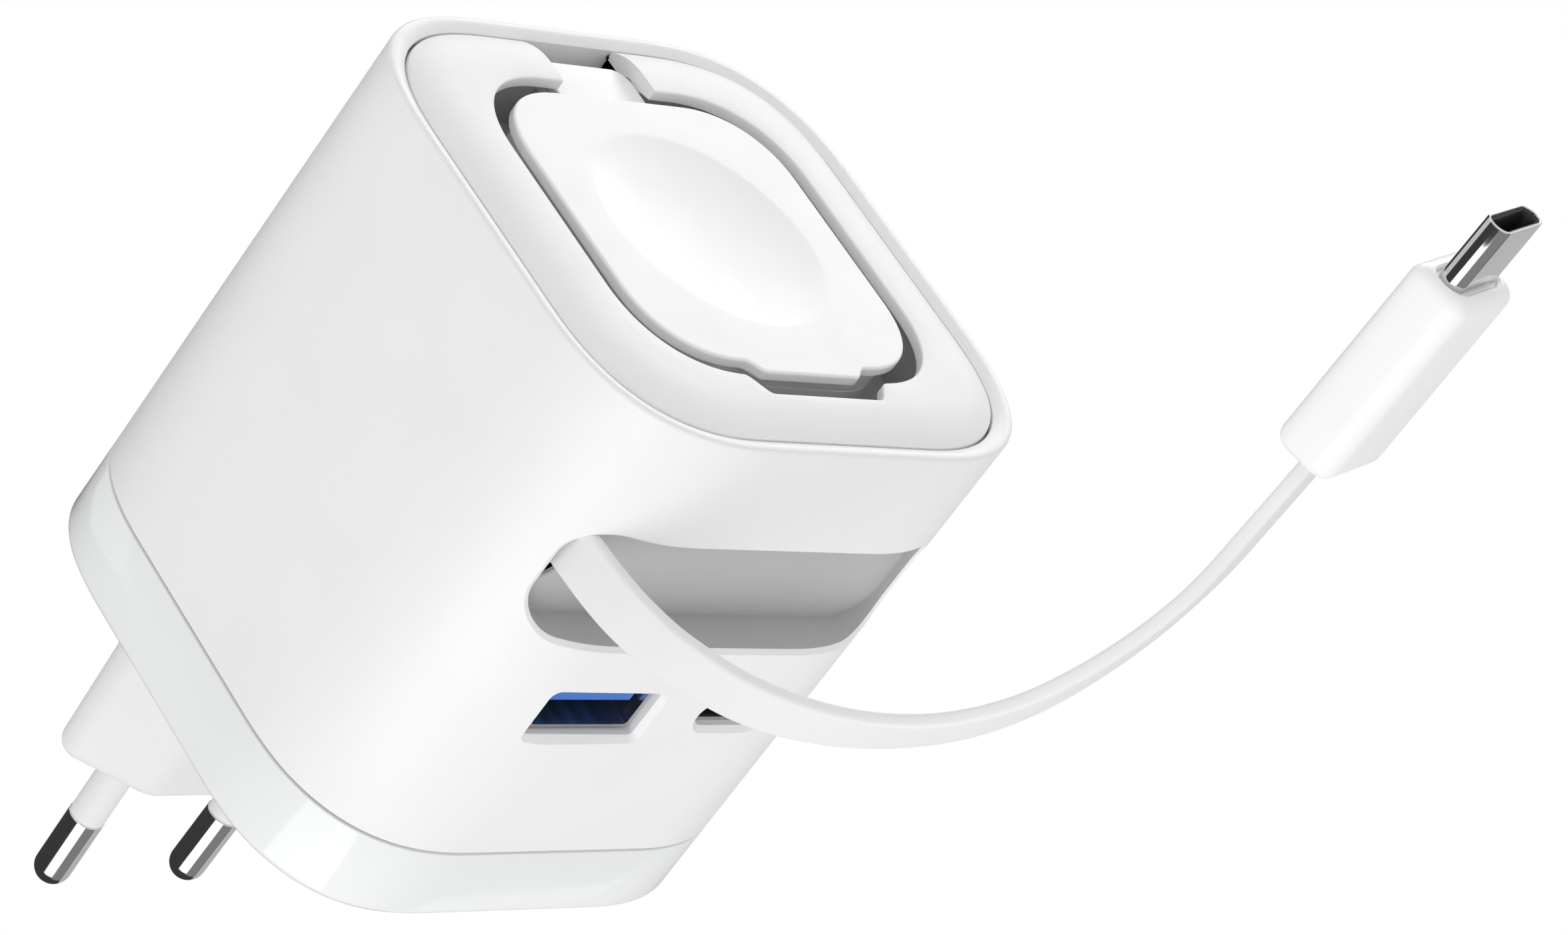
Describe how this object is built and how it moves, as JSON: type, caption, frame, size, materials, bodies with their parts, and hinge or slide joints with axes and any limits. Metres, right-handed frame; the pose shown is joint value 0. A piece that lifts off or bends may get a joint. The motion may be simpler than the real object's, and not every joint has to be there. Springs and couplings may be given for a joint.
{
  "type": "usb wall charger",
  "caption": "Square white wall charger on a two-pin mains plug, with a fold-out round-dished watch pad, a pull-out flat lead with its plug, and two USB ports.",
  "frame": {"origin": "middle of the plug insert's end face, between the two pins", "axes": "+Z along the pins, into the socket; -Y the side with the ports and the lead; +X the side the lead leaves. The charger hangs from a socket that faces down."},
  "size_m": [0.058, 0.0967, 0.1684],
  "materials": {
    "body_white": "fine spark-eroded texture",
    "plate_white": "fine spark-eroded texture",
    "cover_gloss": "polished",
    "insert_white": "coarse spark-eroded texture",
    "liner_grey": "satin",
    "pad_white": "smooth satin",
    "lead_white": "matte elastomer",
    "grip_white": "smooth satin",
    "plug_metal": "polished",
    "pin_metal": "polished nickel",
    "shell_steel": "drawn steel",
    "steel": "machined",
    "contact_gold": "gold plated",
    "copper": "enamelled copper",
    "board_green": "solder mask",
    "tongue_blue": "moulded",
    "black_plastic": "moulded",
    "inner_plastic": "moulded",
    "ferrite": "sintered",
    "aluminium": "rolled",
    "film": "polyimide film",
    "capacitor_sleeve": "shrink sleeve",
    "capacitor_box": "moulded"
  },
  "bodies": {
    "housing": {"main_sleeve": "body_white", "front_plate": "plate_white", "rear_cover": "cover_gloss", "plug_insert": "insert_white", "pin_left": "pin_metal", "pin_right": "pin_metal", "pin_sleeve_left": "insert_white", "pin_sleeve_right": "insert_white", "mains_contacts": "contact_gold", "cable_pocket": "liner_grey", "cable_guide": "liner_grey", "hinge_pin": "steel", "hinge_washers": "steel", "reel_base": "inner_plastic", "reel_cover": "inner_plastic", "reel_axle": "steel", "cable_run_in": "lead_white", "reel_spring": "steel", "slip_ring_board": "board_green", "slip_rings": "contact_gold", "pawl_pin": "steel", "pawl_spring": "steel", "reel_screws": "steel", "usb_lead": "lead_white", "plug_grip": "grip_white", "plug_shell": "plug_metal", "plug_contacts": "black_plastic", "port_board": "board_green", "usb_a_shell": "shell_steel", "usb_a_tongue": "tongue_blue", "usb_a_contacts": "contact_gold", "usb_c_shell": "shell_steel", "usb_c_tongue": "black_plastic", "usb_c_contacts": "contact_gold", "board_header": "black_plastic", "main_board": "board_green", "transformer_core": "ferrite", "transformer_winding": "copper", "bulk_capacitors": "capacitor_sleeve", "output_capacitors": "capacitor_sleeve", "mains_filter_choke": "ferrite", "filter_capacitor": "capacitor_box", "fuse": "black_plastic", "bridge_rectifier": "black_plastic", "power_chips": "black_plastic", "heat_spreader": "aluminium", "insulation_sheet": "film", "board_screws": "steel"},
    "watch_pad": {"pad_cover": "pad_white", "pad_base": "pad_white", "pad_coil": "copper", "pad_ferrite": "ferrite", "pad_magnet": "steel", "pad_board": "board_green"},
    "reel": {"reel_drum": "inner_plastic", "cable_winding": "lead_white", "brush_contacts": "contact_gold"},
    "pawl": {"ratchet_pawl": "inner_plastic"}
  },
  "joints": [
    {"name": "pad_hinge", "type": "hinge", "parent": "housing", "child": "watch_pad", "pos_m": [0, 0.0101, -0.084], "axis": [1, 0, 0], "range_deg": [0, 90]},
    {"name": "reel_spin", "type": "hinge", "parent": "housing", "child": "reel", "pos_m": [0, -0.0111, -0.0691], "axis": [0, 0, 1], "range_deg": [-360, 1980], "deforming": ["reel_spring"]},
    {"name": "pawl_swing", "type": "hinge", "parent": "housing", "child": "pawl", "pos_m": [-0.0142, 0.0031, -0.0746], "axis": [0, 0, -1], "range_deg": [0, 25], "deforming": ["pawl_spring"]}
  ]
}
